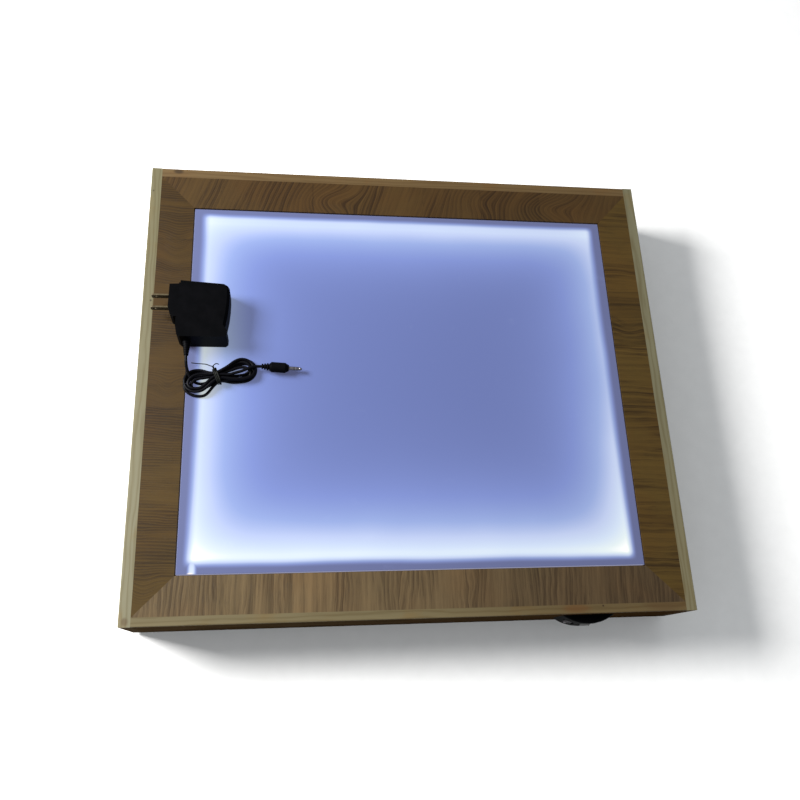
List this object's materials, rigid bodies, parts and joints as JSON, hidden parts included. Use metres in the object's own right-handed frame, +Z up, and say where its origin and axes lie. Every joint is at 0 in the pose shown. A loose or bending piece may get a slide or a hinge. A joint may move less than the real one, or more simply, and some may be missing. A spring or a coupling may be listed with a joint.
{
  "type": "light box",
  "caption": "Wooden tracing light box with an opal drop-in diffuser, edge LED strips, a rocker switch and power socket in front, and a plug-in adapter lying on it.",
  "frame": {"origin": "centre of the footprint at the height the feet stand on", "axes": "+X to the right, +Y to the rear, +Z up; the controls are on the front, -Y"},
  "size_m": [0.52, 0.4666, 0.1],
  "materials": {
    "pine": "clear matt finish",
    "oak_veneer": "oak veneer, satin",
    "inner_pine": "bare",
    "plywood": "bare",
    "steel": "zinc plated",
    "rubber_black": "matt",
    "white_sheet": "glossy white",
    "opal": "opal acrylic",
    "strip": "flexible circuit",
    "chip": "LED package",
    "wire_red": "PVC",
    "wire_black": "PVC",
    "black_moulded": "fine texture",
    "black_gloss": "gloss",
    "nickel": "nickel plated",
    "brass_blade": "worn nickel on brass",
    "board": "circuit board",
    "ferrite": "taped",
    "cord_black": "PVC cord",
    "tie_grey": "wire tie"
  },
  "bodies": {
    "case": {"base_panel": "plywood", "base_screws": "steel", "control_housing": "black_moulded", "corner_nails": "steel", "foot_front_left": "rubber_black", "foot_front_right": "rubber_black", "foot_rear_left": "rubber_black", "foot_rear_right": "rubber_black", "foot_screws": "steel", "front_border": "oak_veneer", "front_cleat": "inner_pine", "front_ledge": "inner_pine", "front_rail": "pine", "housing_screws": "steel", "jack_body": "black_gloss", "jack_nut": "nickel", "jack_terminals": "nickel", "led_chips": "chip", "led_strip_front": "strip", "led_strip_left": "strip", "led_strip_rear": "strip", "led_strip_right": "strip", "left_border": "oak_veneer", "left_cleat": "inner_pine", "left_ledge": "inner_pine", "left_rail": "pine", "rear_border": "oak_veneer", "rear_cleat": "inner_pine", "rear_ledge": "inner_pine", "rear_rail": "pine", "reflector_sheet": "white_sheet", "right_border": "oak_veneer", "right_cleat": "inner_pine", "right_ledge": "inner_pine", "right_rail": "pine", "strip_links": "wire_red", "switch_body": "black_gloss", "switch_terminals": "nickel", "wire_feed_black": "wire_black", "wire_feed_red": "wire_red", "wire_jack_switch": "wire_red"},
    "rocker": {"switch_rocker": "black_gloss"},
    "diffuser": {"diffuser_panel": "opal"},
    "adapter": {"adapter_back_shell": "black_moulded", "adapter_blades": "brass_blade", "adapter_board": "board", "adapter_capacitor": "black_gloss", "adapter_front_shell": "black_moulded", "adapter_relief": "cord_black", "adapter_transformer": "ferrite", "cord_hank": "cord_black", "cord_lead": "cord_black", "cord_tail": "cord_black", "cord_tie": "tie_grey", "plug_handle": "black_moulded", "plug_insulator": "black_gloss", "plug_ring": "nickel", "plug_sleeve": "nickel", "plug_tip": "nickel"}
  },
  "joints": [
    {"name": "rocker_tilt", "type": "hinge", "parent": "case", "child": "rocker", "pos_m": [0.162, -0.22825, 0.045], "axis": [1, 0, 0], "range_deg": [0, 20]},
    {"name": "diffuser_lift", "type": "slide", "parent": "case", "child": "diffuser", "axis": [0, 0, 1], "range_m": [0, 0.12]},
    {"name": "adapter_lift", "type": "slide", "parent": "diffuser", "child": "adapter", "axis": [0, 0, 1], "range_m": [0, 0.12]}
  ]
}
